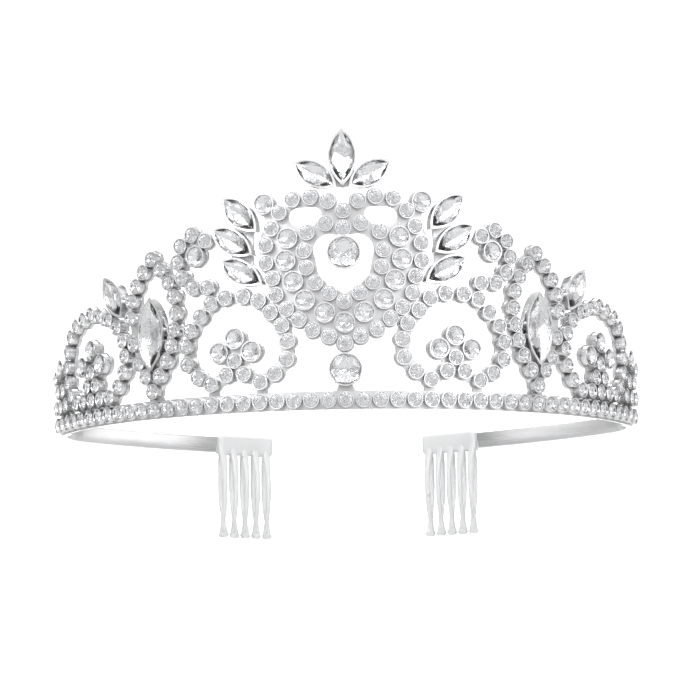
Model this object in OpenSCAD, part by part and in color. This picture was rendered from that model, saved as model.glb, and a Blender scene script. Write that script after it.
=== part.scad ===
// Bridal tiara: a jewelled front panel on a plain metal band, with two side combs.
// Millimetres. Z is up, the band's underside is z = 0, and the front faces -Y.
// The origin is the centre of the panel's curve, where the crown of the head sits.
// A place on the panel is [s, z]: s runs round the curve from the middle, z is the height.

/* [Band] */
// Radius of the panel's curve, at the back of the castings
front_r = 68; // [60:1:80]
// Half of the angle that the panel's curve covers
front_angle = 75; // [72:1:80]
// Radius of the bend behind the temples
side_r = 20; // [15:1:26]
// Angle of the bend behind the temples
side_angle = 50; // [40:1:54]
// Radius of the long rear curve of each arm
rear_r = 150; // [120:5:200]
// Angle of the long rear curve of each arm
rear_angle = 17; // [12:1:20]
// Height of the arms' flat metal strip
arm_h = 4; // [3:0.1:5]
// Thickness of the arms' flat metal strip
arm_t = 0.9; // [0.7:0.1:1.2]
// Length of arm that lies behind the rail
lap_len = 5; // [4:0.5:8]
// Clearance between an arm and the back of the rail
lap_gap = 0.12; // [0.08:0.01:0.2]

/* [Castings] */
// Thickness of the back plates and of the rail
plate_t = 0.8; // [0.6:0.1:1.2]
// Height of the stone rail along the bottom
rail_h = 4.1; // [4:0.1:5]
// Spacing of the rail's stones
rail_pitch = 3.75; // [3.7:0.05:4]
// Stones in the rail on each side of the middle one
rail_half_count = 23; // [20:1:23]
// Plate showing round a cup
rim = 0.3; // [0.2:0.05:0.4]
// Width of the bars that join cups in a row
link_w = 3; // [2:0.1:3.4]
// Solder gap between neighbouring castings
seam = 0.06; // [0.04:0.01:0.1]

/* [Settings] */
// Outer radius of a small cup
small_cup_r = 1.78; // [1.7:0.01:1.8]
// Outer radius of a large cup
large_cup_r = 2.35; // [2.2:0.01:2.4]
// Outer radius of the two big round cups on the centre line
big_cup_r = 3.72; // [3.5:0.02:3.8]
// Wall of a round cup
cup_wall = 0.26; // [0.2:0.02:0.34]
// Height of a small or large cup's rim above the panel's back
cup_h = 2.3; // [2:0.1:2.8]
// Height of a big cup's rim
big_cup_h = 3; // [2.6:0.1:3.6]
// Height of a marquise setting's rim
marquise_h = 2.9; // [2.5:0.1:3.4]
// Wall of a marquise setting
marquise_wall = 0.4; // [0.3:0.05:0.5]
// Clearance between a stone and its cup
stone_gap = 0.02; // [0.01:0.01:0.05]
// Height of a stone above its cup's rim
stone_rise = 0.35; // [0.2:0.05:0.5]

/* [Combs] */
// Width of a comb
comb_w = 16.4; // [14:0.2:20]
// Distance from the comb's top to the tips of its teeth
comb_h = 25; // [20:1:30]
// Thickness of the comb's spine
spine_t = 2.8; // [2.5:0.1:4]
// Height of the comb's spine
spine_h = 4.8; // [4.8:0.1:6]
// Number of pairs of teeth
tooth_pairs = 5; // [4:1:6]
// Width of one tooth
tooth_w = 1.25; // [1:0.05:1.4]
// Thickness of one tooth
tooth_t = 0.9; // [0.7:0.05:1.1]
// How far the two rows of teeth bow apart from the middle
tooth_bow = 2.5; // [2:0.1:3]
// Radius of the bead at a tooth's tip
bead_r = 0.75; // [0.6:0.05:0.9]
// Clearance between an arm's end and its slot in the comb
slot_gap = 0.05; // [0.03:0.01:0.1]

/* [Hidden] */
$fn = 40;
shell_fn = 240;
panel_h = 66;
cup_foot = 0.3;
floor_h = 0.55;
plate_back = 5;
comb_drop = 0.4;

// Colours of the plated metal, the stones and the combs.
metal = [0.78, 0.78, 0.8];
crystal = [0.93, 0.95, 0.98];
clear_plastic = [0.85, 0.86, 0.87, 0.8];

// Small cups of the centre plaque, right half; those at s = 0 stand alone on the centre line.
plaque_small = [[0, 44.2], [0, 40.4], [0, 23.9], [0, 14.6],
                [3.3, 46.4], [7.1, 47.4], [11, 47], [13.9, 44.2], [15.7, 40.7], [17, 37], [17, 33],
                [15.6, 29.5], [14.9, 25.8], [12.6, 22.5], [9.9, 20.1], [7, 17.7], [3.4, 16.2],
                [3.8, 41.4], [7.9, 39.5], [8.6, 35.4], [8.2, 31.6], [6.2, 28.2], [3.3, 25.8]];
// Large cups of the centre plaque, right half.
plaque_large = [[0, 19.2], [17.3, 46.3], [12.2, 38.4], [12.7, 33.4], [11.1, 28.7], [8.6, 24.4],
                [4.3, 21.5]];
pendant_at = [0, 34.8];
drop_at = [0, 8.7];

// Each marquise is [s, z, half its length, half its width, lean from level].
fan_marquises = [[0, 56.3, 6.5, 3.2, 90], [6, 52.5, 5.6, 2.8, 30], [-6, 52.5, 5.6, 2.8, 150]];
side_marquises = [[22.8, 44.2, 5.8, 2.8, 45], [24.55, 38.15, 5.9, 2.8, 33], [22.5, 31.2, 5.9, 2.7, 30]];
side_mid = 22;
arch_marquise = [45.4, 18.9, 8.4, 3.8, 90];
outer_marquise = [57, 28.45, 5.7, 2.8, 59];

// The heart loop is the same on both sides of its own middle; offsets from that middle.
heart_mid = 24.4;
heart_half = [[2.1, 25.8], [5.6, 24.7], [8.2, 21.9], [10.7, 18.9], [11.9, 15.4], [11.6, 11.4],
              [9, 8.3], [5.7, 6.5], [2.05, 8.5]];
heart_flower_large = [[0, 16.5], [3.75, 13.5], [-3.75, 13.5]];
heart_flower_small = [[0, 11.5]];

scroll_small = [[31.1, 39], [34.5, 40.5], [37.4, 38.2], [38.2, 34.6], [37.1, 31.1], [34.4, 28.6],
                [30.7, 28.4]];
scroll_large = [[33.7, 35.7]];
scroll_mid = 34;

arch_mid = 45.4;
// Inner side of the pointed arch, then its side next to the outer loop; offsets from its middle.
arch_half = [[2.5, 33.3], [4.7, 30.3], [6, 27], [6.5, 23.2], [6.1, 19.5], [5.4, 16], [4, 12.6],
             [2, 9.5]];
arch_loop_half = [[2.5, 33.3], [4.7, 30.3], [6, 27], [6.5, 23.2], [5.55, 17.2], [4, 12.6], [2, 9.5]];
arch_axis = [[0, 36], [0, 6]];

loop_mid = 66.45;
loop_half = [[3.55, 24.8], [7.05, 23.7], [10, 21.5], [11.9, 18.4], [12.6, 14.8], [12, 11.2],
             [10.1, 8.1], [7.25, 5.95], [3.62, 5.95]];
loop_axis = [[0, 25.6], [0, 5.95]];
loop_flower_large = [[0, 17.3], [3.95, 13.9], [-3.95, 13.9]];
loop_flower_small = [[0, 12.3], [1.85, 9.15], [-1.85, 9.15]];

cluster_small = [[79.85, 6.3], [83.55, 6.1], [87.25, 6.2], [85.55, 9.8], [81.85, 9.7], [87.55, 13.1]];
cluster_large = [[83.65, 14.9]];
cluster_mid = 83.85;

function shifted(points, by) = [for (p = points) [p[0] + by, p[1]]];
function mirrored(points) = [for (p = points) [-p[0], p[1]]];
function off_axis(points) = [for (p = points) if (p[0] != 0) p];
function two_sided(points) = concat(points, mirrored(off_axis(points)));
function near(points, others, reach) =
    [for (q = others) if (min([for (p = points) norm(p - q)]) < reach) q];

plaque_small_all = two_sided(plaque_small);
plaque_large_all = two_sided(plaque_large);
heart_ring = shifted(concat(heart_half, mirrored([for (i = [len(heart_half) - 1 : -1 : 0])
                                                  heart_half[i]])), heart_mid);
heart_small = concat(heart_ring, shifted(heart_flower_small, heart_mid));
heart_large = shifted(heart_flower_large, heart_mid);
arch_ring = shifted(concat([arch_axis[0]], arch_loop_half, [arch_axis[1]],
                           mirrored([for (i = [len(arch_half) - 1 : -1 : 0]) arch_half[i]])), arch_mid);
loop_ring = shifted(concat([loop_axis[0]], loop_half, [loop_axis[1]],
                           mirrored([for (i = [len(loop_half) - 1 : -1 : 0]) loop_half[i]])), loop_mid);
loop_small = concat(loop_ring, shifted(loop_flower_small, loop_mid));
loop_large = shifted(loop_flower_large, loop_mid);

rail_points = [for (i = [-rail_half_count : rail_half_count]) [i * rail_pitch, rail_h / 2]];
plate_reach = small_cup_r + large_cup_r + 2 * rim + 2 * seam;

// Centres of the two rear curves, and the joint of the arm to the rail.
side_centre = (front_r - side_r) * [sin(front_angle), -cos(front_angle)];
turn = front_angle + side_angle;
rear_centre = side_centre + (side_r - rear_r) * [sin(turn), -cos(turn)];
comb_turn = turn + rear_angle;
arm_out = -lap_gap;
comb_pitch = comb_w / tooth_pairs;
tongue_len = comb_w - 2;

// Puts its children at [s, z] on the panel, with their Z axis pointing outwards.
module on_panel(p, out = 0) {
    rotate([0, 0, p[0] / front_r * 180 / PI])
        translate([0, -front_r - out, p[1]])
            rotate([90, 0, 0])
                children();
}

// The curved sheet that every back plate is cut from.
module panel_sheet(from_z = 0, to_z = panel_h, half = 89) {
    rotate([0, 0, -90 - half])
        rotate_extrude(angle = 2 * half, $fn = shell_fn)
            translate([front_r, from_z])
                square([plate_t, to_z - from_z]);
}

// Where a place on the panel falls on the flat plane that touches the panel at mid.
function flat(p, mid) = [front_r * sin((p[0] - mid) / front_r * 180 / PI), p[1]];

// Outlines on that plane: discs under cups, bars between neighbours in a row, and free shapes.
module discs(points, mid, r) {
    for (p = points)
        translate(flat(p, mid))
            circle(r);
}

module bars(points, mid, closed = true, width = link_w) {
    for (i = [0 : len(points) - (closed ? 1 : 2)]) {
        a = flat(points[i], mid);
        b = flat(points[(i + 1) % len(points)], mid);
        translate((a + b) / 2)
            rotate(atan2(b[1] - a[1], b[0] - a[0]))
                square([norm(b - a), width], center = true);
    }
}

module shape_at(p, outline) {
    translate(p)
        polygon(outline);
}

// The part of the curved sheet that lies inside a flat outline.
module cut_plate(mid) {
    intersection() {
        panel_sheet(rail_h + seam);
        on_panel([mid, 0], -plate_back)
            linear_extrude(plate_back + plate_t + seam)
                children();
    }
}

// Round cups standing on the sheet, without their hollows.
module cups(points, cup_r, h = cup_h) {
    for (p = points)
        on_panel(p, cup_foot)
            cylinder(h = h - cup_foot, r = cup_r);
}

// The hollows of round cups.
module hollows(points, cup_r, h = cup_h) {
    for (p = points)
        on_panel(p, floor_h)
            cylinder(h = h, r = cup_r - cup_wall);
}

// Round stones: a blunt back, a thin girdle and a flat table above a sloping crown.
module round_stones(points, cup_r, h = cup_h) {
    r = cup_r - cup_wall - stone_gap;
    bottom = floor_h + stone_gap;
    girdle = h - stone_rise;
    top = h + stone_rise;
    for (p = points)
        on_panel(p)
            rotate_extrude()
                polygon([[0, bottom], [r / 3, bottom], [r, girdle], [r, girdle + 0.15],
                         [0.6 * r, top], [0, top]]);
}

// Leaf outline with two pointed ends, made by two crossing circles.
module leaf(half_len, half_w) {
    r = (half_len * half_len + half_w * half_w) / (2 * half_w);
    intersection() {
        translate([0, r - half_w]) circle(r, $fn = 160);
        translate([0, half_w - r]) circle(r, $fn = 160);
    }
}

// Leaf-shaped bar across the panel, shrunk by a wall.
module marquise_bar(m, from, to, shrink = 0) {
    on_panel([m[0], m[1]], from)
        rotate([0, 0, m[4]])
            linear_extrude(to - from)
                leaf(m[2] - 2 * shrink, m[3] - shrink);
}

module marquise_blanks(list, foot = cup_foot, grow = 0) {
    for (m = list)
        marquise_bar(m, foot, marquise_h, -grow);
}

module marquise_hollows(list) {
    for (m = list)
        marquise_bar(m, floor_h, marquise_h + 1, marquise_wall);
}

// Marquise stones: a girdle step with a smaller table step above it.
module marquise_stones(list) {
    inset = marquise_wall + stone_gap;
    for (m = list) {
        marquise_bar(m, floor_h + stone_gap, marquise_h - stone_rise, inset);
        marquise_bar(m, floor_h + stone_gap, marquise_h + stone_rise, inset + m[3] / 3);
    }
}

// A pierced casting: a plate with cups standing on it. Its plate stops short of the plates
// round the cups in pads_off, of the bars along bars_off, and of the cups in cups_off.
module casting(mid, ring, small, large, pads_off, cups_off, closed = true, bars_off = []) {
    difference() {
        union() {
            cut_plate(mid)
                difference() {
                    union() {
                        discs(small, mid, small_cup_r + rim);
                        discs(large, mid, large_cup_r + rim);
                        bars(ring, mid, closed);
                        children();
                    }
                    discs(pads_off, mid, small_cup_r + rim + seam);
                    discs(cups_off, mid, small_cup_r + seam);
                    if (len(bars_off) > 0)
                        bars(bars_off, mid, false, link_w + 2 * seam);
                }
            cups(small, small_cup_r);
            cups(large, large_cup_r);
        }
        hollows(small, small_cup_r);
        hollows(large, large_cup_r);
    }
}

module base_rail() {
    color(metal)
        difference() {
            union() {
                panel_sheet(0, rail_h, front_angle);
                cups(rail_points, small_cup_r);
            }
            hollows(rail_points, small_cup_r);
        }
}

module rail_stones() {
    color(crystal) round_stones(rail_points, small_cup_r);
}

// The pear-shaped window round the pendant and the two eye-shaped windows above it.
module plaque_windows() {
    for (side = [-1, 1]) {
        translate([side * 3.1, 35.6]) circle(3.6);
        translate([side * 9.9, 43.1]) circle(2.1);
        translate([side * 6.4, 43.6]) circle(1.7);
        shape_at([side * 8.1, 43.3], [[-1.9, -1.9], [1.9, -2], [1.9, 2], [-1.9, 2]]);
    }
    shape_at([0, 35.6], [[-6.6, 0], [-5.7, -5.2], [-3.4, -8], [0, -9.8], [3.4, -8], [5.7, -5.2],
                         [6.6, 0], [3, 3.4], [-3, 3.4]]);
}

// Metal that fills the plaque between its cups, right half.
module plaque_field() {
    shape_at([0, 30], [[0, -15], [3, -15], [9, -11.5], [12.5, -9.5], [16.5, -4], [17.3, 0],
                       [18.8, 3], [19, 8], [17.6, 11], [17.6, 15.5], [10.5, 16.5], [3.2, 16],
                       [0, 14.5]]);
}

module centre_plaque() {
    ring_pads = near(plaque_small, heart_ring, plate_reach);
    heart_inner = [for (i = [11 : 16]) heart_ring[i]];
    color(metal)
        difference() {
            union() {
                cut_plate(0)
                    difference() {
                        union() {
                            plaque_field();
                            mirror([1, 0]) plaque_field();
                            discs(plaque_small_all, 0, small_cup_r + rim);
                            discs(plaque_large_all, 0, large_cup_r + rim);
                        }
                        plaque_windows();
                        discs([pendant_at], 0, big_cup_r + seam);
                        discs(two_sided(ring_pads), 0, small_cup_r + rim + seam);
                        for (side = [0, 1])
                            mirror([side, 0])
                                bars(heart_inner, 0, false, link_w + 2 * seam);
                    }
                cups(plaque_small_all, small_cup_r);
                cups(plaque_large_all, large_cup_r);
            }
            hollows(plaque_small_all, small_cup_r);
            hollows(plaque_large_all, large_cup_r);
            for (side = [0, 1])
                mirror([side, 0, 0])
                    side_fan_blank(seam);
        }
}

module plaque_stones() {
    color(crystal) round_stones(plaque_small_all, small_cup_r);
}

module plaque_large_stones() {
    color(crystal) round_stones(plaque_large_all, large_cup_r);
}

// A big round cup on the centre line.
module big_cup(p) {
    difference() {
        union() {
            cups([p], big_cup_r, big_cup_h);
            children();
        }
        hollows([p], big_cup_r, big_cup_h);
    }
}

module pendant_setting() {
    color(metal) big_cup(pendant_at);
}

module pendant_stone() {
    color(crystal) round_stones([pendant_at], big_cup_r, big_cup_h);
}

// The drop's cup has a flared foot on the rail and a short neck up to the plaque.
module drop_setting() {
    foot_z = rail_h + seam - drop_at[1];
    neck_z = plaque_small[3][1] - small_cup_r - rim - seam - drop_at[1];
    color(metal)
        big_cup(drop_at)
            cut_plate(0)
                shape_at(drop_at, [[-2.2, foot_z], [2.2, foot_z], [1.3, foot_z + 1.6],
                                   [1.1, neck_z], [-1.1, neck_z], [-1.3, foot_z + 1.6]]);
}

module drop_stone() {
    color(crystal) round_stones([drop_at], big_cup_r, big_cup_h);
}

// Three leaf settings that meet at the foot, joined behind by a small web.
module top_fan() {
    color(metal)
        difference() {
            union() {
                marquise_blanks(fan_marquises);
                cut_plate(0)
                    shape_at([0, 50.5], [[-4.5, 0.8], [-3, -0.4], [0, -1], [3, -0.4], [4.5, 0.8],
                                         [1.5, 3], [-1.5, 3]]);
            }
            marquise_hollows(fan_marquises);
        }
}

module top_fan_stones() {
    color(crystal) marquise_stones(fan_marquises);
}

// The three leaf settings beside the plaque, with the web of metal that carries them.
module side_fan_blank(grow = 0) {
    marquise_blanks(side_marquises, cup_foot - grow, grow);
    cut_plate(side_mid)
        shape_at([0, 36], [[-2 - grow, 5 + grow], [-1.6 - grow, -6 - grow], [2, -5], [4, 1], [2, 7]]);
}

module side_fan() {
    difference() {
        side_fan_blank();
        marquise_hollows(side_marquises);
    }
}

module heart_loop() {
    foot_z = rail_h + seam - heart_half[7][1];
    others = near(heart_ring, concat(plaque_small, scroll_small, arch_ring), plate_reach);
    casting(heart_mid, heart_ring, heart_small, heart_large, [], others) {
        for (side = [-1, 1])
            shape_at([side * heart_half[7][0], heart_half[7][1]],
                     [[-1.3, foot_z], [1.3, foot_z], [1, 0], [-1, 0]]);
        shape_at([0, 11.5], [[-4, 2.5], [-2, -3], [2, -3], [4, 2.5], [0, 5]]);
    }
}

module scroll() {
    others = near(scroll_small, concat(heart_ring, arch_ring), plate_reach);
    casting(scroll_mid, scroll_small, scroll_small, scroll_large, others, [], false)
        shape_at([0, 35], [[-0.2, 2.8], [-0.2, -1.5], [4, -1.5], [4, 2.8]]);
}

module pointed_arch() {
    foot_z = rail_h + seam - arch_axis[1][1];
    heart_pads = near(arch_ring, heart_ring, plate_reach);
    others = near(arch_ring, concat(scroll_small, loop_ring), plate_reach);
    difference() {
        casting(arch_mid, arch_ring, arch_ring, [], heart_pads, others)
            shape_at([0, arch_axis[1][1]], [[-2.1, foot_z], [2.1, foot_z], [1, 0], [-1, 0]]);
        marquise_bar(arch_marquise, cup_foot - seam, marquise_h, -seam);
    }
}

module outer_loop() {
    arch_pads = near(loop_ring, arch_ring, plate_reach);
    others = near(loop_ring, cluster_small, plate_reach);
    arch_bars = [for (i = [4 : 6]) arch_ring[i]];
    casting(loop_mid, loop_ring, loop_small, loop_large, arch_pads, others, true, arch_bars)
        shape_at([0, 11], [[-4, 2.5], [-2.5, -4.5], [2.5, -4.5], [4, 2.5], [0, 5.5]]);
}

module end_cluster() {
    loop_pads = near(concat(cluster_small, cluster_large), loop_ring, plate_reach);
    casting(cluster_mid, cluster_small, cluster_small, cluster_large, loop_pads, [], false)
        shape_at([0, 10.5], [[-1.7, -3.7], [2.7, -3.7], [2.6, 2.2], [0.4, 4.1], [-1.3, 1.7]]);
}

// A lone leaf setting with a closed back.
module marquise_setting(m) {
    difference() {
        marquise_blanks([m]);
        marquise_hollows([m]);
    }
}

// Points along an arc about a centre, from one heading to another.
function arc_points(centre, r, from, to, steps) =
    [for (i = [0 : steps]) let (h = from + (to - from) * i / steps)
     centre + r * [sin(h), -cos(h)]];

// One face of the arm's strip, seen from above, at a distance out from the panel's curve.
function arm_face(out) = concat(
    arc_points([0, 0], front_r + out, front_angle - lap_len / front_r * 180 / PI, front_angle, 4),
    arc_points(side_centre, side_r + out, front_angle + side_angle / 24, turn, 23),
    arc_points(rear_centre, rear_r + out, turn + rear_angle / 20, comb_turn, 19),
    [rear_centre + (rear_r + out) * [sin(comb_turn), -cos(comb_turn)]
     + tongue_len * [cos(comb_turn), sin(comb_turn)]]);

// Right-hand arm's end, where the straight tongue starts; X runs along the arm, Y inwards.
module at_arm_end() {
    translate([rear_centre[0], rear_centre[1], 0])
        rotate([0, 0, comb_turn])
            translate([0, -rear_r - arm_out + arm_t, 0])
                children();
}

module arm() {
    outer = arm_face(arm_out);
    inner = arm_face(arm_out - arm_t);
    last = len(inner) - 1;
    color(metal)
        linear_extrude(arm_h)
            polygon(concat(outer, [for (i = [last : -1 : 0]) inner[i]]));
}

// Outline of one bowed tooth, seen along the spine: side is 1 for the row nearer the head.
module tooth_bow_outline(side, low, high) {
    mid = (arm_h + comb_drop + low) / 2;
    half = mid - low;
    r = (half * half + tooth_bow * tooth_bow) / (2 * tooth_bow);
    intersection() {
        translate([side * (tooth_bow - r), mid])
            difference() {
                circle(r, $fn = 160);
                circle(r - tooth_t, $fn = 160);
            }
        translate([side > 0 ? 0 : -tooth_bow - 1, low])
            square([tooth_bow + 1, high - low]);
    }
}

// Right-hand comb: a slotted spine, two staggered rows of teeth and a bead at each tip.
module comb() {
    spine_low = arm_h + comb_drop - spine_h;
    bead_z = arm_h + comb_drop - comb_h + bead_r;
    stagger = comb_pitch / 2 - 0.1;
    bead_len = stagger + tooth_w - 2 * bead_r;
    color(clear_plastic)
        at_arm_end()
            translate([0, -arm_t / 2, 0])
                difference() {
                    union() {
                        translate([0.4, -spine_t / 2, spine_low])
                            cube([comb_w - 0.4, spine_t, spine_h]);
                        for (i = [0 : tooth_pairs - 1])
                            translate([0.5 + i * comb_pitch, 0, 0]) {
                                for (side = [-1, 1])
                                    translate([side > 0 ? 0 : stagger, 0, 0])
                                        rotate([90, 0, 90])
                                            linear_extrude(tooth_w)
                                                tooth_bow_outline(side, bead_z, spine_low + 0.6);
                                translate([bead_r, 0, bead_z])
                                    sphere(bead_r);
                                translate([bead_r, 0, bead_z])
                                    rotate([0, 90, 0])
                                        cylinder(h = bead_len, r = bead_r);
                                translate([bead_r + bead_len, 0, bead_z])
                                    sphere(bead_r);
                            }
                    }
                    translate([-1, -arm_t / 2 - slot_gap, -slot_gap])
                        cube([tongue_len + 1 + slot_gap, arm_t + 2 * slot_gap, arm_h + 2 * slot_gap]);
                }
}

// The stones of a casting that has small and large cups.
module round_pair(small, large) {
    round_stones(small, small_cup_r);
    round_stones(large, large_cup_r);
}

// The stones of each casting that has a left and a right copy.
module side_fan_stones() {
    color(crystal) marquise_stones(side_marquises);
}

module heart_loop_stones() {
    color(crystal) round_pair(heart_small, heart_large);
}

module scroll_stones() {
    color(crystal) round_pair(scroll_small, scroll_large);
}

module pointed_arch_stones() {
    color(crystal) round_pair(arch_ring, []);
}

module arch_marquise_setting() {
    color(metal) marquise_setting(arch_marquise);
}

module arch_marquise_stone() {
    color(crystal) marquise_stones([arch_marquise]);
}

module outer_loop_stones() {
    color(crystal) round_pair(loop_small, loop_large);
}

module outer_marquise_setting() {
    color(metal) marquise_setting(outer_marquise);
}

module outer_marquise_stone() {
    color(crystal) marquise_stones([outer_marquise]);
}

module end_cluster_stones() {
    color(crystal) round_pair(cluster_small, cluster_large);
}

// Left-hand copies are mirror images of the right-hand pieces.
module left() {
    mirror([1, 0, 0]) children();
}

base_rail();
rail_stones();
centre_plaque();
plaque_stones();
plaque_large_stones();
pendant_setting();
pendant_stone();
drop_setting();
drop_stone();
top_fan();
top_fan_stones();
color(metal) left() side_fan();  // side_fan_left
color(metal) side_fan();  // side_fan_right
left() side_fan_stones();  // side_fan_stones_left
side_fan_stones();  // side_fan_stones_right
color(metal) left() heart_loop();  // heart_loop_left
color(metal) heart_loop();  // heart_loop_right
left() heart_loop_stones();  // heart_loop_stones_left
heart_loop_stones();  // heart_loop_stones_right
color(metal) left() scroll();  // scroll_left
color(metal) scroll();  // scroll_right
left() scroll_stones();  // scroll_stones_left
scroll_stones();  // scroll_stones_right
color(metal) left() pointed_arch();  // pointed_arch_left
color(metal) pointed_arch();  // pointed_arch_right
left() pointed_arch_stones();  // pointed_arch_stones_left
pointed_arch_stones();  // pointed_arch_stones_right
left() arch_marquise_setting();  // arch_marquise_setting_left
arch_marquise_setting();  // arch_marquise_setting_right
left() arch_marquise_stone();  // arch_marquise_stone_left
arch_marquise_stone();  // arch_marquise_stone_right
color(metal) left() outer_loop();  // outer_loop_left
color(metal) outer_loop();  // outer_loop_right
left() outer_loop_stones();  // outer_loop_stones_left
outer_loop_stones();  // outer_loop_stones_right
left() outer_marquise_setting();  // outer_marquise_setting_left
outer_marquise_setting();  // outer_marquise_setting_right
left() outer_marquise_stone();  // outer_marquise_stone_left
outer_marquise_stone();  // outer_marquise_stone_right
color(metal) left() end_cluster();  // end_cluster_left
color(metal) end_cluster();  // end_cluster_right
left() end_cluster_stones();  // end_cluster_stones_left
end_cluster_stones();  // end_cluster_stones_right
left() arm();  // arm_left
arm();  // arm_right
left() comb();  // comb_left
comb();  // comb_right
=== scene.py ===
import math

import bpy
import numpy as np
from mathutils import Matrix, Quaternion, Vector


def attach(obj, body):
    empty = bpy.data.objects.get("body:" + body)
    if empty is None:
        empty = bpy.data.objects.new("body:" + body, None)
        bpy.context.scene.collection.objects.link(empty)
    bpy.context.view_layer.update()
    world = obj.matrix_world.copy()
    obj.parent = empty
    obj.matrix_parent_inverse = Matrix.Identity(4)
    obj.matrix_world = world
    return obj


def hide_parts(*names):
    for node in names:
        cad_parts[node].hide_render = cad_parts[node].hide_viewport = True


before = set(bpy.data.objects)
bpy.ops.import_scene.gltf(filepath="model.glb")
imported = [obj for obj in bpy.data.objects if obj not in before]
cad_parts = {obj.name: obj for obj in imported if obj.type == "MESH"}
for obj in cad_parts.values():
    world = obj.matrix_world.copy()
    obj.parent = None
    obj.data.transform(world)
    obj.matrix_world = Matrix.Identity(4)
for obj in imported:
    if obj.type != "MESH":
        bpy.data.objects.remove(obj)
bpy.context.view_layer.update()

# ------------------------------------------------------------------ camera, floor and light
# The tiara is shown against a sweep of pale grey paper, lit until it looks white. One long lens
# stands a metre in front of the panel and a little below it; three white softboxes and three
# black cards give the metal and the stones something to reflect.
MM = 0.001
CAMERA_TILT = math.radians(6.58)  # how far the lens looks up
CAMERA_ROLL = 0.0169  # radians
FOCAL_LENGTH = 232.0  # millimetres, as Blender takes it
PAPER_FRONT, PAPER_FOOT, PAPER_Z, PAPER_TOP, PAPER_HALF_W = -14.0, 2.0, -0.3, 3.0, 9.0
PAPER_BEND = 0.6

aim = Vector((1.06, -68.0, 13.24)) * MM
look = Vector((0.0, math.cos(CAMERA_TILT), math.sin(CAMERA_TILT)))
lens = bpy.data.cameras.new("front_lens")
lens.lens = FOCAL_LENGTH
lens.sensor_width = 36.0
lens.clip_start, lens.clip_end = 0.05, 20.0
camera = bpy.data.objects.new("front_camera", lens)
camera.location = aim - look
camera.rotation_mode = "QUATERNION"
camera.rotation_quaternion = Quaternion(look, CAMERA_ROLL) @ look.to_track_quat("-Z", "Y")
bpy.context.scene.collection.objects.link(camera)
bpy.context.scene.camera = camera
bpy.context.scene.view_settings.view_transform = "Standard"


def mesh_piece(name, points, faces, materials, face_material=None):
    """A mesh object at the origin from a list of points and faces, smooth up to 50 degrees."""
    mesh = bpy.data.meshes.new(name)
    mesh.from_pydata(np.asarray(points).reshape(-1, 3).tolist(), [], faces)
    for material in materials:
        mesh.materials.append(material)
    if face_material is not None:
        mesh.polygons.foreach_set("material_index", np.asarray(face_material, np.int32))
    mesh.polygons.foreach_set("use_smooth", np.ones(len(mesh.polygons), bool))
    mesh.set_sharp_from_angle(angle=math.radians(50))
    mesh.update()
    piece = bpy.data.objects.new(name, mesh)
    bpy.context.scene.collection.objects.link(piece)
    return piece


def new_material(name):
    """A new material with a Principled shader; gives the material, its tree and the shader."""
    material = bpy.data.materials.new(name)
    material.use_nodes = True
    return material, material.node_tree, material.node_tree.nodes["Principled BSDF"]


def add_node(tree, kind, settings=None, **inputs):
    """A node with its settings; each input is a value or the output socket that feeds it."""
    node = tree.nodes.new(kind)
    for key, value in (settings or {}).items():
        setattr(node, key, value)
    for key, value in inputs.items():
        socket = node.inputs[key.replace("_", " ")]
        if isinstance(value, bpy.types.NodeSocket):
            tree.links.new(value, socket)
        else:
            socket.default_value = value
    return node


def remap(tree, value, low, high, from_low=0.0, from_high=1.0):
    """The value stretched from one range to another, held inside the new range."""
    node = tree.nodes.new("ShaderNodeMapRange")
    tree.links.new(value, node.inputs[0])
    for socket, number in zip(node.inputs[1:5], (from_low, from_high, low, high)):
        socket.default_value = number
    return node.outputs[0]


def grey_mix(tree, factor, dark, light):
    """A colour between two greys or tints, chosen by a factor."""
    node = add_node(tree, "ShaderNodeMix", {"data_type": "RGBA"})
    tree.links.new(factor, node.inputs[0])
    node.inputs[6].default_value = (*dark, 1.0)
    node.inputs[7].default_value = (*light, 1.0)
    return node.outputs[2]


paper, tree, shader = new_material("white_paper")
place = add_node(tree, "ShaderNodeTexCoord").outputs["Object"]
fibre = add_node(tree, "ShaderNodeTexNoise", Vector=place, Scale=9.0, Detail=4.0).outputs[0]
tree.links.new(grey_mix(tree, fibre, (0.50, 0.50, 0.50), (0.55, 0.55, 0.55)),
               shader.inputs["Base Color"])
shader.inputs["Roughness"].default_value = 0.9
shader.inputs["Specular IOR Level"].default_value = 0.1

# The sweep: flat in front, then a quarter circle up into a wall behind.
bend = np.radians(np.linspace(0.0, 90.0, 17))
run_y = np.concatenate([[PAPER_FRONT, -1.0, 1.0], PAPER_FOOT + PAPER_BEND * np.sin(bend),
                        [PAPER_FOOT + PAPER_BEND]])
run_z = np.concatenate([[PAPER_Z] * 3, PAPER_Z + PAPER_BEND * (1.0 - np.cos(bend)),
                        [PAPER_TOP]])
sweep = np.stack([np.stack([np.full_like(run_y, x), run_y, run_z], axis=1)
                  for x in (-PAPER_HALF_W, PAPER_HALF_W)], axis=1)
step = np.arange(len(run_y) - 1)[:, None] * 2
floor = mesh_piece("paper_sweep", sweep, (step + np.array([[0, 1, 3, 2]])).tolist(), [paper])

black_card, tree, shader = new_material("black_card")
place = add_node(tree, "ShaderNodeTexCoord").outputs["Object"]
fibre = add_node(tree, "ShaderNodeTexNoise", Vector=place, Scale=40.0, Detail=3.0).outputs[0]
tree.links.new(grey_mix(tree, fibre, (0.012, 0.012, 0.012), (0.03, 0.03, 0.03)),
               shader.inputs["Base Color"])
shader.inputs["Roughness"].default_value = 0.85

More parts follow.
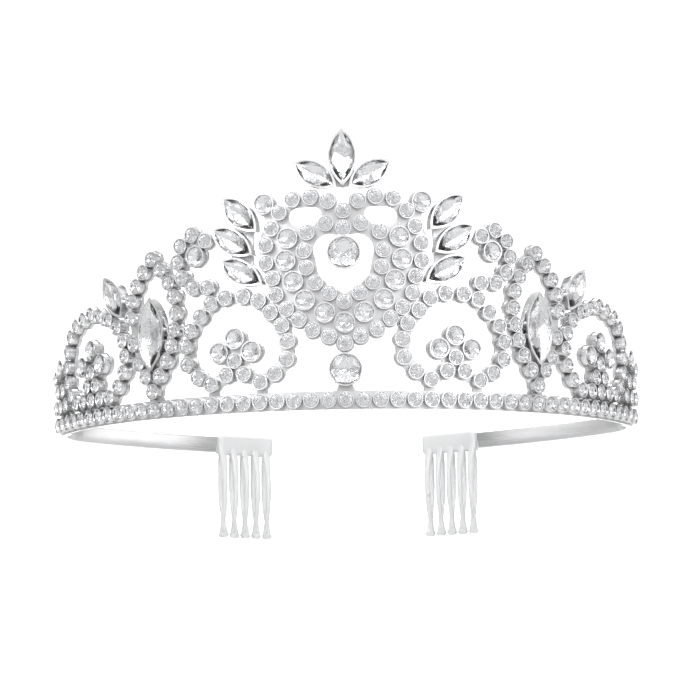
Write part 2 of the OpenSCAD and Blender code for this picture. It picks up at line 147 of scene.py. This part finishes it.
CARDS = {  # name: centre, half of its width along x and y, half of its height, in metres
    "card_front": ((0.0, -2.1, 0.15), (0.22, 0.0), 0.13),
    "card_left": ((-1.9, -0.5, 0.35), (0.0, 0.16), 0.55),
    "card_right": ((1.9, -0.5, 0.35), (0.0, 0.16), 0.55),
}
for name, (centre, across, up) in CARDS.items():
    middle = np.array(centre)
    side = np.array([across[0], across[1], 0.0])
    rise = np.array([0.0, 0.0, up])
    corners = [middle - side - rise, middle + side - rise,
               middle + side + rise, middle - side + rise]
    card = mesh_piece(name, corners, [[0, 1, 2, 3]], [black_card])
    card.visible_camera = False

SOFTBOXES = {  # name: place, what it points at, size in metres, power in watts
    "softbox_left": ((-1.0, -1.5, 1.1), aim, 0.9, 16.0),
    "softbox_right": ((1.2, -1.3, 0.9), aim, 0.7, 9.0),
    "softbox_top": ((0.1, 0.3, 1.7), aim, 1.0, 8.0),
    "paper_light": ((0.0, 1.2, 1.6), Vector((0.0, 2.55, 0.3)), 1.2, 125.0),
}
for name, (place, target, size, power) in SOFTBOXES.items():
    light = bpy.data.lights.new(name, "AREA")
    light.size = size
    light.energy = power
    lamp = bpy.data.objects.new(name, light)
    lamp.location = place
    lamp.rotation_mode = "QUATERNION"
    lamp.rotation_quaternion = (target - Vector(place)).to_track_quat("-Z", "Y")
    lamp.visible_camera = False
    bpy.context.scene.collection.objects.link(lamp)

# The room is white too, with soft brighter and darker patches for the metal to mirror.
studio = bpy.data.worlds.new("studio")
studio.use_nodes = True
tree = studio.node_tree
direction = add_node(tree, "ShaderNodeTexCoord").outputs["Generated"]
flags = add_node(tree, "ShaderNodeTexNoise", Vector=direction, Scale=3.2, Detail=1.0).outputs[0]
tree.links.new(remap(tree, flags, 0.48, 1.32, 0.40, 0.56),
               tree.nodes["Background"].inputs["Strength"])
tree.nodes["Background"].inputs["Color"].default_value = (1.0, 1.0, 1.0, 1.0)
bpy.context.scene.world = studio

# ------------------------------------------------------------------ base rail
# A curved strip of cast alloy with a row of round cups, plated bright silver. Each cup's rim is
# pressed over a foil-backed round stone.
RAIL_BACK = 68.0 * MM
CUP_FOOT = RAIL_BACK + 0.4 * MM
STONE_RISE = 0.35 * MM
ROUND_WALL, LEAF_WALL = 0.295 * MM, 0.44 * MM
LEAF_TIP = 1.85  # how much thicker a leaf's wall is at its points
LEAF_RATIO, LEAN_RATIO = 1.15, 1.3
TABLE, CROWN_MID, PAVILION_MID = 0.56, 0.80, 0.30  # shares of a stone's half width
LEAF_DEPTH, LARGE_DEPTH, SMALL_DEPTH = 0.24, 0.36, 1.0  # pavilion depth by half width
LARGE_STONE = 1.8 * MM
PLATE_FACE, CUP_FACE = 68.7 * MM, 70.3 * MM
ANGLE, HEIGHT, BACK, FRONT, HALF_LEN, HALF_W, LEAN = range(7)  # columns of a table of seats


def welded(node):
    """The CAD node's corners with doubles merged to a micrometre, and its triangles."""
    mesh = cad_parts[node].data
    corners = np.empty(len(mesh.vertices) * 3, np.float64)
    mesh.vertices.foreach_get("co", corners)
    loops = np.empty(len(mesh.loops), np.int64)
    mesh.loops.foreach_get("vertex_index", loops)
    keys = np.round(corners.reshape(-1, 3) / 1e-6).astype(np.int64)
    spots, index = np.unique(keys, axis=0, return_inverse=True)
    triangles = index.reshape(-1)[loops].reshape(-1, 3)
    whole = (triangles != np.roll(triangles, 1, axis=1)).all(axis=1)
    return spots * 1e-6, triangles[whole]


def ring_quads(rows, cols, closed=False):
    """Faces between neighbouring rings of points; closed also joins the last to the first."""
    i, j = np.meshgrid(np.arange(rows if closed else rows - 1), np.arange(cols), indexing="ij")
    i2, j2 = (i + 1) % rows, (j + 1) % cols
    return np.stack([i * cols + j, i * cols + j2, i2 * cols + j2, i2 * cols + j],
                    axis=-1).reshape(-1, 4)


def seats_in(node):
    """One row per stone of a CAD node: angle round the curve, height, inner and outer distance
    from the axis, half length, half width and lean. Triangles that share corners are one stone;
    the spread of its corners in its own plane gives the lean."""
    points, triangles = welded(node)
    label = np.arange(len(points))
    while True:
        lower = label.copy()
        np.minimum.at(lower, triangles.ravel(), np.repeat(label[triangles].min(axis=1), 3))
        if (lower == label).all():
            break
        label = lower
    rows = []
    for stone in np.unique(label):
        x, y, z = points[label == stone].T
        angles = np.arctan2(x, -y)
        angle = (angles.min() + angles.max()) / 2
        height = (z.min() + z.max()) / 2
        across = np.array([x * np.cos(angle) + y * np.sin(angle), z - height])
        out = x * np.sin(angle) - y * np.cos(angle)
        spread, axes = np.linalg.eigh(across @ across.T)
        if spread[1] > LEAN_RATIO * spread[0]:
            lean = math.atan2(axes[1, 1], axes[0, 1])
        else:
            lean = 0.0
        along = across[0] * math.cos(lean) + across[1] * math.sin(lean)
        beside = across[1] * math.cos(lean) - across[0] * math.sin(lean)
        rows.append([angle, height, out.min(), out.max() - 0.002 * MM,
                     np.ptp(along) / 2, np.ptp(beside) / 2, lean])
    return np.array(rows)


def outline(half_len, half_w, angle):
    """Round where both halves are equal; otherwise a leaf of two crossing circular arcs, whose
    radius is (len^2 + w^2) / 2w. The angle runs once round."""
    x = half_len * np.cos(angle)
    radius = (half_len**2 + half_w**2) / (2 * half_w)
    arc = np.sqrt(np.maximum(radius**2 - x**2, 0.0)) - (radius - half_w)
    leaf = half_len > LEAF_RATIO * half_w
    return x, np.where(leaf, np.sign(np.sin(angle)) * np.maximum(arc, 0.0), half_w * np.sin(angle))


def seated(seats, x, y, out):
    """Puts flat shapes on their seats: x, y across each stone's face and out from the axis."""
    angle, height, lean = (seats[:, i].reshape(-1, *[1] * (x.ndim - 1))
                           for i in (ANGLE, HEIGHT, LEAN))
    u = x * np.cos(lean) - y * np.sin(lean)
    w = x * np.sin(lean) + y * np.cos(lean)
    return np.stack([out * np.sin(angle) + u * np.cos(angle),
                     u * np.sin(angle) - out * np.cos(angle), height + w], axis=-1)


def bezels(seats, segments):
    """Closed rings round each stone: an upright wall, a rounded rim and a lip pressed over the
    stone. Each profile point is how far outside the stone it lies, and how far out."""
    rim = seats[:, FRONT] - STONE_RISE
    leaf = seats[:, HALF_LEN] > LEAF_RATIO * seats[:, HALF_W]
    wall = np.where(leaf, LEAF_WALL, ROUND_WALL)
    base = np.full(len(seats), CUP_FOOT)
    lip = np.zeros(len(seats))
    profile = [(wall, base), (wall, rim - 0.55 * MM), (wall - 0.09 * MM, rim - 0.24 * MM),
               (wall - 0.18 * MM, rim - 0.03 * MM), (lip + 0.05 * MM, rim + 0.02 * MM),
               (lip, rim - 0.02 * MM), (lip - 0.08 * MM, rim - 0.14 * MM),
               (lip + 0.02 * MM, rim - 0.4 * MM)]
    outside = np.stack([p[0] for p in profile], axis=1)[:, :, None]
    level = np.stack([p[1] for p in profile], axis=1)[:, :, None]
    tip = np.where(leaf, LEAF_TIP, 1.0)[:, None, None]
    round_once = np.linspace(0, 2 * np.pi, segments, endpoint=False)[None, None, :]
    x, y = outline(seats[:, HALF_LEN, None, None] + tip * outside,
                   seats[:, HALF_W, None, None] + outside, round_once)
    points = seated(seats, x, y, level + 0.0 * x)
    ring_starts = np.arange(len(seats)) * len(profile) * segments
    quads = ring_quads(len(profile), segments, True)[None] + ring_starts[:, None, None]
    return points.reshape(-1, 3), quads.reshape(-1, 4)


def cut_stones(name, cad_nodes, body, detailed=False):
    """Brilliant-cut stones: an eight-sided table, star, kite and girdle facets above, and a
    foiled pavilion below. A kite lies flat because its side corners are placed on the straight
    line from the table's corner to the girdle."""
    seats = np.concatenate([seats_in(node) for node in cad_nodes])
    eighth = np.arange(8) * np.pi / 4
    sixteenth = np.arange(16) * np.pi / 8
    flat = math.cos(math.pi / 8)
    crown_at = 1 - (CROWN_MID * flat - TABLE) / (1 - TABLE)
    # Corners of one stone: 0-7 table, 8-15 crown, 16-31 girdle. A plain pavilion adds its point;
    # a detailed one adds 32-47 girdle's lower edge, 48-55 pavilion and 56 its point.
    angle = [eighth, eighth + np.pi / 8, sixteenth]
    scale = [np.full(8, TABLE), np.full(8, CROWN_MID), np.ones(16)]
    crown = [np.ones(8), np.full(8, crown_at), np.zeros(16)]
    depth = [np.zeros(32)]
    k, j = np.arange(8), np.arange(16)
    faces = [list(range(8))]
    faces += np.stack([k, 8 + k, (k + 1) % 8], 1).tolist()
    faces += np.stack([k, 8 + (k - 1) % 8, 16 + 2 * k, 8 + k], 1).tolist()
    faces += np.stack([8 + k, 16 + 2 * k, 16 + 2 * k + 1], 1).tolist()
    faces += np.stack([8 + k, 16 + 2 * k + 1, 16 + (2 * k + 2) % 16], 1).tolist()
    upper = len(faces)
    if detailed:
        angle += [sixteenth, eighth + np.pi / 8, np.zeros(1)]
        scale += [np.ones(16), np.full(8, PAVILION_MID), np.zeros(1)]
        crown += [np.zeros(25)]
        depth += [np.full(16, 0.08), np.full(8, 1 - 0.92 * PAVILION_MID * flat), np.ones(1)]
        faces += np.stack([16 + j, 32 + j, 32 + (j + 1) % 16, 16 + (j + 1) % 16], 1).tolist()
        faces += np.stack([np.full(8, 56), 48 + k, 32 + 2 * k, 48 + (k - 1) % 8], 1).tolist()
        faces += np.stack([48 + k, 32 + 2 * k + 1, 32 + 2 * k], 1).tolist()
        faces += np.stack([48 + k, 32 + (2 * k + 2) % 16, 32 + 2 * k + 1], 1).tolist()
    else:
        angle += [np.zeros(1)]
        scale += [np.zeros(1)]
        crown += [np.zeros(1)]
        depth += [np.ones(1)]
        faces += np.stack([np.full(16, 32), 16 + (j + 1) % 16, 16 + j], 1).tolist()
    angle, scale = np.concatenate(angle)[None], np.concatenate(scale)[None]
    crown, depth = np.concatenate(crown)[None], np.concatenate(depth)[None]
    half_len, half_w = seats[:, HALF_LEN, None], seats[:, HALF_W, None]
    front, back = seats[:, FRONT, None], seats[:, BACK, None]
    leaf = half_len > LEAF_RATIO * half_w
    twist = np.random.default_rng(len(seats) + len(name)).uniform(0, np.pi / 4, (len(seats), 1))
    twist = np.where(leaf, 0.0, twist)
    x, y = outline(half_len, half_w, angle + twist)
    girdle = front - 2 * STONE_RISE + 0.12 * MM
    share = np.where(leaf, LEAF_DEPTH, np.where(half_w > LARGE_STONE, LARGE_DEPTH, SMALL_DEPTH))
    deep = np.minimum(girdle - back, share * half_w)
    out = girdle + crown * (front - girdle) - depth * deep
    points = seated(seats, x * scale, y * scale, out)
    shifts = np.arange(len(seats)) * points.shape[1]
    every = [[v + shift for v in face] for shift in shifts.tolist() for face in faces]
    kinds = np.tile(np.arange(len(faces)) >= upper, len(seats)).astype(np.int32)
    piece = mesh_piece(name, points, every, [crystal, foil], kinds)
    piece.data.polygons.foreach_set("use_smooth", np.zeros(len(every), bool))
    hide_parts(*cad_nodes)
    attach(piece, body)
    return piece


def casting(name, node, stones, body, segments=18):
    """The casting's own plates and cups with a rounded, pressed-over rim added to each cup."""
    points, triangles = welded(node)
    seats = np.concatenate([seats_in(s) for s in stones])
    rims, quads = bezels(seats, segments)
    faces = triangles.tolist() + (quads + len(points)).tolist()
    kinds = np.repeat([0, 1], [len(triangles), len(quads)])
    piece = mesh_piece(name, np.concatenate([points, rims]), faces, [cast_silver, rim_silver],
                       kinds)
    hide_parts(node)
    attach(piece, body)
    return piece


def shader_group(name, inputs, outputs):
    """An empty shader node group with named sockets; gives the tree and its two end nodes."""
    group = bpy.data.node_groups.new(name, "ShaderNodeTree")
    for socket, kind, value in inputs:
        made = group.interface.new_socket(name=socket, in_out="INPUT", socket_type=kind)
        if value is not None:
            made.default_value = value
    for socket, kind in outputs:
        group.interface.new_socket(name=socket, in_out="OUTPUT", socket_type=kind)
    return group, group.nodes.new("NodeGroupInput"), group.nodes.new("NodeGroupOutput")


# Grain of plated metal: soft lumps from the mould, fine pits, and cloudy patches in the polish.
plating, given, made = shader_group(
    "plating_grain",
    [("Vector", "NodeSocketVector", None), ("Lump Scale", "NodeSocketFloat", 1500.0),
     ("Pit Scale", "NodeSocketFloat", 5200.0), ("Pits", "NodeSocketFloat", 0.4)],
    [("Height", "NodeSocketFloat"), ("Cloud", "NodeSocketFloat"), ("Pit", "NodeSocketFloat")])
lump = add_node(plating, "ShaderNodeTexNoise", Vector=given.outputs["Vector"],
                Scale=given.outputs["Lump Scale"], Detail=5.0, Roughness=0.6)
pit = add_node(plating, "ShaderNodeTexVoronoi", Vector=given.outputs["Vector"],
               Scale=given.outputs["Pit Scale"])
pit_mask = remap(plating, pit.outputs["Distance"], 1.0, 0.0, 0.0, 0.35)
pit_depth = add_node(plating, "ShaderNodeMath", {"operation": "MULTIPLY"})
plating.links.new(pit_mask, pit_depth.inputs[0])
plating.links.new(given.outputs["Pits"], pit_depth.inputs[1])
height = add_node(plating, "ShaderNodeMath", {"operation": "SUBTRACT"})
plating.links.new(lump.outputs[0], height.inputs[0])
plating.links.new(pit_depth.outputs[0], height.inputs[1])
cloud = add_node(plating, "ShaderNodeTexNoise", Vector=given.outputs["Vector"], Scale=420.0,
                 Detail=3.0)
plating.links.new(height.outputs[0], made.inputs["Height"])
plating.links.new(cloud.outputs[0], made.inputs["Cloud"])
plating.links.new(pit_depth.outputs[0], made.inputs["Pit"])

# How far out a place lies between the panel's back plates and the cups' rims, from 0 to 1; the
# metal uses it to paint deeper places darker, as painted shade.
relief, given, made = shader_group(
    "panel_relief", [("Vector", "NodeSocketVector", None)], [("Raised", "NodeSocketFloat")])
flat_place = add_node(relief, "ShaderNodeVectorMath", {"operation": "MULTIPLY"})
relief.links.new(given.outputs["Vector"], flat_place.inputs[0])
flat_place.inputs[1].default_value = (1.0, 1.0, 0.0)
reach = add_node(relief, "ShaderNodeVectorMath", {"operation": "LENGTH"})
relief.links.new(flat_place.outputs[0], reach.inputs[0])
relief.links.new(remap(relief, reach.outputs["Value"], 0.0, 1.0, PLATE_FACE, CUP_FACE),
                 made.inputs["Raised"])


def silver(name, dark, light, rough_low, rough_high, pits, bump, painted_wall_shade_grey):
    """Plated metal: the grain group drives its colour, roughness and bump; deeper places get
    painted shade, and walls that turn away from the eye get painted shade for the neighbours they
    mirror."""
    material, tree, shader = new_material(name)
    place = add_node(tree, "ShaderNodeTexCoord").outputs["Object"]
    grain = add_node(tree, "ShaderNodeGroup", {"node_tree": plating})
    tree.links.new(place, grain.inputs["Vector"])
    grain.inputs["Pits"].default_value = pits
    raised = add_node(tree, "ShaderNodeGroup", {"node_tree": relief})
    tree.links.new(place, raised.inputs["Vector"])
    # Painted shade: places lying deeper in the panel get a darker grey; the cloudy polish patches
    # added here are the metal's own tone.
    depth_shade_and_cloud = add_node(tree, "ShaderNodeMath", {"operation": "MULTIPLY_ADD"})
    tree.links.new(raised.outputs["Raised"], depth_shade_and_cloud.inputs[0])
    depth_shade_and_cloud.inputs[1].default_value = 0.65
    tree.links.new(remap(tree, grain.outputs["Cloud"], -0.05, 0.4, 0.3, 0.7), depth_shade_and_cloud.inputs[2])
    # Painted shade: walls seen edge-on are mixed towards a dark grey, standing in for the
    # neighbours they mirror.
    away = add_node(tree, "ShaderNodeLayerWeight", Blend=0.5).outputs["Facing"]
    shade = add_node(tree, "ShaderNodeMix", {"data_type": "RGBA"})
    tree.links.new(remap(tree, away, 0.0, 1.0, 0.14, 0.7), shade.inputs[0])
    tree.links.new(grey_mix(tree, depth_shade_and_cloud.outputs[0], dark, light), shade.inputs[6])
    shade.inputs[7].default_value = (painted_wall_shade_grey, painted_wall_shade_grey, painted_wall_shade_grey, 1.0)
    tree.links.new(shade.outputs[2], shader.inputs["Base Color"])
    tree.links.new(remap(tree, grain.outputs["Cloud"], rough_low, rough_high, 0.3, 0.7),
                   shader.inputs["Roughness"])
    grain_bump = add_node(tree, "ShaderNodeBump", Strength=bump, Distance=0.05 * MM,
                          Height=grain.outputs["Height"])
    tree.links.new(grain_bump.outputs[0], shader.inputs["Normal"])
    shader.inputs["Metallic"].default_value = 1.0
    return material


cast_silver = silver("cast_silver_plate", (0.68, 0.68, 0.69), (0.92, 0.92, 0.93),
                     0.24, 0.42, 0.5, 0.6, 0.52)
rim_silver = silver("burnished_rim", (0.62, 0.62, 0.63), (0.94, 0.94, 0.95),
                    0.08, 0.18, 0.15, 0.2, 0.32)

crystal, tree, shader = new_material("cut_crystal")
place = add_node(tree, "ShaderNodeTexCoord").outputs["Object"]
haze = add_node(tree, "ShaderNodeTexNoise", Vector=place, Scale=900.0, Detail=3.0).outputs[0]
tree.links.new(remap(tree, haze, 0.0, 0.03, 0.45, 0.75), shader.inputs["Roughness"])
tree.links.new(grey_mix(tree, haze, (0.97, 0.98, 1.0), (1.0, 1.0, 1.0)),
               shader.inputs["Base Color"])
shader.inputs["Transmission Weight"].default_value = 1.0
shader.inputs["IOR"].default_value = 1.46

foil, tree, shader = new_material("silver_foil_back")
place = add_node(tree, "ShaderNodeTexCoord").outputs["Object"]
crinkle = add_node(tree, "ShaderNodeTexNoise", Vector=place, Scale=1400.0, Detail=2.0).outputs[0]
flecks = add_node(tree, "ShaderNodeTexVoronoi", Vector=place, Scale=2600.0).outputs["Distance"]
tree.links.new(grey_mix(tree, remap(tree, flecks, 0.0, 1.0, 0.06, 0.3), (0.30, 0.30, 0.31),
                        (0.93, 0.93, 0.94)), shader.inputs["Base Color"])
tree.links.new(remap(tree, crinkle, 0.05, 0.16), shader.inputs["Roughness"])
dents = add_node(tree, "ShaderNodeBump", Strength=0.5, Distance=0.12 * MM, Height=crinkle)
tree.links.new(dents.outputs[0], shader.inputs["Normal"])
shader.inputs["Metallic"].default_value = 1.0

casting("base_rail_casting", "base_rail", ["rail_stones"], "panel")
cut_stones("rail_stones_cut", ["rail_stones"], "panel")

# ------------------------------------------------------------------ centre plaque
# A heart-shaped pierced casting in the middle, soldered to the rail through the drop below it.
# Small and large round stones sit in its cups; one big stone fills the pear-shaped window.
casting("centre_plaque_casting", "centre_plaque", ["plaque_stones", "plaque_large_stones"],
        "panel")
cut_stones("plaque_stones_cut", ["plaque_stones"], "panel")
cut_stones("plaque_large_stones_cut", ["plaque_large_stones"], "panel", True)
for big in ("pendant", "drop"):
    casting(big + "_cup", big + "_setting", [big + "_stone"], "panel", 40)
    cut_stones(big + "_stone_cut", [big + "_stone"], "panel", True)

# ------------------------------------------------------------------ leaf settings
# Leaf-shaped (marquise) bezels fan out above the plaque and on both sides of it, one fills each
# pointed arch and one leans over each outer loop. Each holds a faceted leaf-shaped stone.
casting("top_fan_casting", "top_fan", ["top_fan_stones"], "panel", 56)
cut_stones("top_fan_stones_cut", ["top_fan_stones"], "panel", True)
for side in ("left", "right"):
    casting(f"side_fan_casting_{side}", f"side_fan_{side}", [f"side_fan_stones_{side}"],
            "panel", 56)
    cut_stones(f"side_fan_stones_cut_{side}", [f"side_fan_stones_{side}"], "panel", True)
    for leaf in ("arch_marquise", "outer_marquise"):
        casting(f"{leaf}_bezel_{side}", f"{leaf}_setting_{side}", [f"{leaf}_stone_{side}"],
                "panel", 56)
        cut_stones(f"{leaf}_stone_cut_{side}", [f"{leaf}_stone_{side}"], "panel", True)

# ------------------------------------------------------------------ loops, scrolls and arches
# Each side repeats the same castings: a heart-shaped loop with a flower of stones, a hooked
# scroll above it, a pointed arch, a round outer loop and a small cluster at the rail's end.
for side in ("left", "right"):
    for shape in ("heart_loop", "scroll", "pointed_arch", "outer_loop", "end_cluster"):
        casting(f"{shape}_casting_{side}", f"{shape}_{side}", [f"{shape}_stones_{side}"],
                "panel")
        cut_stones(f"{shape}_stones_cut_{side}", [f"{shape}_stones_{side}"], "panel")

# ------------------------------------------------------------------ arms
# Each arm is one flat strip of springy metal, rolled with soft edges and plated. It lies behind
# the rail's end, bends behind the temple and runs back in a long curve into the comb.
STRIP_H, STRIP_T, STRIP_EDGE = 4.0 * MM, 0.9 * MM, 0.24 * MM
LAP, LAP_GAP = 5.0 * MM, 0.12 * MM
SIDE_R, REAR_R = 20.0 * MM, 150.0 * MM
FRONT_TURN, SIDE_TURN, REAR_TURN = np.radians([75.0, 50.0, 17.0])
COMB_W = 16.4 * MM
TONGUE = COMB_W - 2.0 * MM


def heading(turn):
    """Unit vector pointing away from the centre of a curve, at an angle from the front."""
    return np.stack([np.sin(turn), -np.cos(turn)], axis=-1)


side_centre = (RAIL_BACK - SIDE_R) * heading(FRONT_TURN)
rear_centre = side_centre + (SIDE_R - REAR_R) * heading(FRONT_TURN + SIDE_TURN)
comb_turn = FRONT_TURN + SIDE_TURN + REAR_TURN


def strip_surface(mirror):
    """A rounded rectangle carried along three arcs and a straight tongue. A point is the curve's
    centre plus (radius + offset) times the heading, and the height comes from the rectangle."""
    turns = [np.linspace(FRONT_TURN - LAP / RAIL_BACK, FRONT_TURN, 7)[:-1],
             np.linspace(FRONT_TURN, FRONT_TURN + SIDE_TURN, 31)[:-1],
             np.linspace(FRONT_TURN + SIDE_TURN, comb_turn, 25), np.full(6, comb_turn)]
    counts = [len(t) for t in turns]
    centres = np.repeat([np.zeros(2), side_centre, rear_centre, rear_centre], counts, axis=0)
    radii = np.repeat([RAIL_BACK, SIDE_R, REAR_R, REAR_R], counts)
    ahead = np.concatenate([np.zeros(sum(counts[:3])), np.linspace(0, TONGUE, 7)[1:]])
    turns = np.concatenate(turns)
    forward = np.stack([np.cos(turns), np.sin(turns)], axis=-1)
    corner = np.radians(np.arange(0, 91, 30))
    fillet = [np.cos(corner + q * np.pi / 2) * STRIP_EDGE for q in range(4)]
    rise = [np.sin(corner + q * np.pi / 2) * STRIP_EDGE for q in range(4)]
    half_t, half_h = STRIP_T / 2 - STRIP_EDGE, STRIP_H / 2 - STRIP_EDGE
    across = np.concatenate([f + s * half_t for f, s in zip(fillet, (1, -1, -1, 1))])
    up = np.concatenate([r + s * half_h for r, s in zip(rise, (1, 1, -1, -1))])
    offset = across - LAP_GAP - STRIP_T / 2
    flat = (centres[:, None] + (radii[:, None] + offset)[..., None] * heading(turns)[:, None]
            + (ahead[:, None] * forward)[:, None])
    points = np.concatenate([flat, np.broadcast_to((up + STRIP_H / 2)[None, :, None],
                                                   (*flat.shape[:2], 1))], axis=2)
    points[..., 0] *= mirror
    rows, cols = points.shape[:2]
    run = np.concatenate([[0], np.cumsum(np.linalg.norm(np.diff(points[:, 0], axis=0), axis=1))])
    girth = np.concatenate([[0], np.cumsum(np.hypot(np.diff(across), np.diff(up)))])
    first, last = np.arange(cols)[::-1], (rows - 1) * cols + np.arange(cols)
    faces = ring_quads(rows, cols).tolist() + [first.tolist(), last.tolist()]
    if mirror < 0:
        faces = [face[::-1] for face in faces]
    return points.reshape(-1, 3), faces, run, girth, cols


rolled, tree, shader = new_material("rolled_strip")
strip_uv = add_node(tree, "ShaderNodeUVMap", {"uv_map": "strip"}).outputs[0]
stretch = add_node(tree, "ShaderNodeMapping", Vector=strip_uv, Scale=(60.0, 9000.0, 1.0))
lines = add_node(tree, "ShaderNodeTexNoise", Vector=stretch.outputs[0], Scale=1.0,
                 Detail=4.0).outputs[0]
place = add_node(tree, "ShaderNodeTexCoord").outputs["Object"]
grain = add_node(tree, "ShaderNodeGroup", {"node_tree": plating})
tree.links.new(place, grain.inputs["Vector"])
grain.inputs["Pits"].default_value = 0.1
tree.links.new(grey_mix(tree, grain.outputs["Cloud"], (0.84, 0.84, 0.85), (0.93, 0.93, 0.94)),
               shader.inputs["Base Color"])
tree.links.new(remap(tree, lines, 0.16, 0.30, 0.3, 0.7), shader.inputs["Roughness"])
line_bump = add_node(tree, "ShaderNodeBump", Strength=0.12, Distance=0.02 * MM, Height=lines)
tree.links.new(line_bump.outputs[0], shader.inputs["Normal"])
shader.inputs["Metallic"].default_value = 1.0

for side, mirror in (("left", -1), ("right", 1)):
    points, faces, run, girth, cols = strip_surface(mirror)
    strip = mesh_piece(f"arm_strip_{side}", points, faces, [rolled])
    uv = strip.data.uv_layers.new(name="strip")
    corner_of = np.empty(len(strip.data.loops), np.int64)
    strip.data.loops.foreach_get("vertex_index", corner_of)
    uv.data.foreach_set("uv", np.stack([run[corner_of // cols], girth[corner_of % cols]],
                                       axis=1).ravel())
    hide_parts(f"arm_{side}")
    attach(strip, f"arm_{side}")

# ------------------------------------------------------------------ combs
# Each side comb is one moulding of clear, slightly frosted plastic round the strip's end: a
# straight spine and five pairs of teeth that bow apart and meet again in a bead at the tip.
SPINE_T, SPINE_LOW, SPINE_HIGH = 2.8 * MM, -0.4 * MM, 4.4 * MM
SPINE_START, SPINE_ROUND = 0.4 * MM, 0.45 * MM
TEETH_START, TEETH_FROM = 0.5 * MM, 2.2 * MM
TOOTH_W, TOOTH_T, TOOTH_BOW = 1.25 * MM, 0.9 * MM, 2.5 * MM
TIP_Z, BEAD_R, PAIRS = -19.85 * MM, 0.75 * MM, 5
PAIR_STEP = COMB_W / PAIRS
STAGGER = PAIR_STEP / 2 - 0.1 * MM


def tube(rings):
    """A closed tube through rings of points, with flat ends; faces point outwards when the rings
    run anticlockwise as seen from the far end."""
    rows, cols = rings.shape[:2]
    ends = [np.arange(cols)[::-1].tolist(), ((rows - 1) * cols + np.arange(cols)).tolist()]
    return rings.reshape(-1, 3), ring_quads(rows, cols).tolist() + ends


def squircle(half_a, half_b, power, count):
    """Closed outline with |a|^p + |b|^p = 1, scaled to its two half sizes."""
    t = np.linspace(0, 2 * np.pi, count, endpoint=False)
    a, b = np.cos(t), np.sin(t)
    return (half_a * np.sign(a) * np.abs(a) ** (2 / power),
            half_b * np.sign(b) * np.abs(b) ** (2 / power))


def comb_solids():
    """The comb's overlapping solids in its own frame: x along the strip, y inwards, z up. A
    tooth's bow is a parabola from the spine's top to its tip; its width falls with the cube of
    the way down and swells by a bell curve at the root."""
    t = np.linspace(0, 1, 25)
    inset = SPINE_ROUND * (1 - np.sqrt(1 - (1 - np.minimum(1, np.minimum(t, 1 - t) * 25)) ** 2))
    mid_z, half_z = (SPINE_LOW + SPINE_HIGH) / 2, (SPINE_HIGH - SPINE_LOW) / 2
    y, z = squircle(1.0, 1.0, 6.0, 32)
    x = SPINE_START + t * (COMB_W - SPINE_START)
    solids = [np.stack(np.broadcast_arrays(
        x[:, None], y * (SPINE_T / 2 - inset[:, None]),
        mid_z + z * (half_z - inset[:, None])), axis=-1)]
    fall = np.linspace(0, 1, 41)
    drop = TEETH_FROM + fall * (TIP_Z - TEETH_FROM)
    bow = 1 - ((drop - (SPINE_HIGH + TIP_Z) / 2) / ((SPINE_HIGH - TIP_Z) / 2)) ** 2
    slim = 1.0 - 0.2 * fall**3 + 0.5 * np.exp(-((fall - 0.1) / 0.16) ** 2)
    ring_x, ring_y = squircle(TOOTH_W / 2, TOOTH_T / 2, 3.0, 16)
    around = np.linspace(0, np.pi, 13)[:, None]
    spin = np.linspace(0, 2 * np.pi, 16, endpoint=False)
    half_bead = (STAGGER + TOOTH_W - 2 * BEAD_R) / 2
    bead_reach = np.maximum(np.sin(around), 0.02) * BEAD_R
    for pair in range(PAIRS):
        start = TEETH_START + pair * PAIR_STEP
        for row, shift in ((1, 0.0), (-1, STAGGER)):
            x = start + shift + TOOTH_W / 2 + ring_x * slim[:, None]
            y = row * (TOOTH_BOW - TOOTH_T / 2) * bow[:, None] - ring_y * (1 - 0.1 * fall[:, None])
            solids.append(np.stack(np.broadcast_arrays(x, y, drop[:, None]), axis=-1))
        x = (start + BEAD_R + half_bead - np.cos(around) * BEAD_R
             + np.sign(np.round(-np.cos(around), 6)) * half_bead)
        solids.append(np.stack(np.broadcast_arrays(x, bead_reach * np.cos(spin),
                                                   TIP_Z + bead_reach * np.sin(spin)), axis=-1))
    return solids


frosted, tree, shader = new_material("frosted_clear_plastic")
place = add_node(tree, "ShaderNodeTexCoord").outputs["Object"]
flow = add_node(tree, "ShaderNodeTexNoise", Vector=place, Scale=160.0, Detail=3.0,
                Distortion=0.6).outputs[0]
frost = add_node(tree, "ShaderNodeTexNoise", Vector=place, Scale=2600.0, Detail=3.0).outputs[0]
tree.links.new(grey_mix(tree, flow, (0.80, 0.805, 0.81), (0.90, 0.905, 0.91)),
               shader.inputs["Base Color"])
tree.links.new(remap(tree, flow, 0.26, 0.42, 0.3, 0.7), shader.inputs["Roughness"])
frost_bump = add_node(tree, "ShaderNodeBump", Strength=0.12, Distance=0.03 * MM, Height=frost)
tree.links.new(frost_bump.outputs[0], shader.inputs["Normal"])
shader.inputs["Transmission Weight"].default_value = 0.25
shader.inputs["IOR"].default_value = 1.49

for side, mirror in (("left", -1), ("right", 1)):
    along = np.array([math.cos(comb_turn), math.sin(comb_turn)])
    outward = heading(comb_turn)
    middle = rear_centre + (REAR_R - LAP_GAP - STRIP_T / 2) * outward
    points, faces, count = [], [], 0
    for solid in comb_solids():
        corners, sides = tube(solid)
        flat = middle + corners[:, :1] * along - corners[:, 1:2] * outward
        points.append(np.concatenate([flat * [mirror, 1], corners[:, 2:]], axis=1))
        faces += [[v + count for v in face] for face in sides]
        count += len(corners)
    if mirror < 0:
        faces = [face[::-1] for face in faces]
    comb = mesh_piece(f"comb_moulding_{side}", np.concatenate(points), faces, [frosted])
    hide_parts(f"comb_{side}")
    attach(comb, f"arm_{side}")
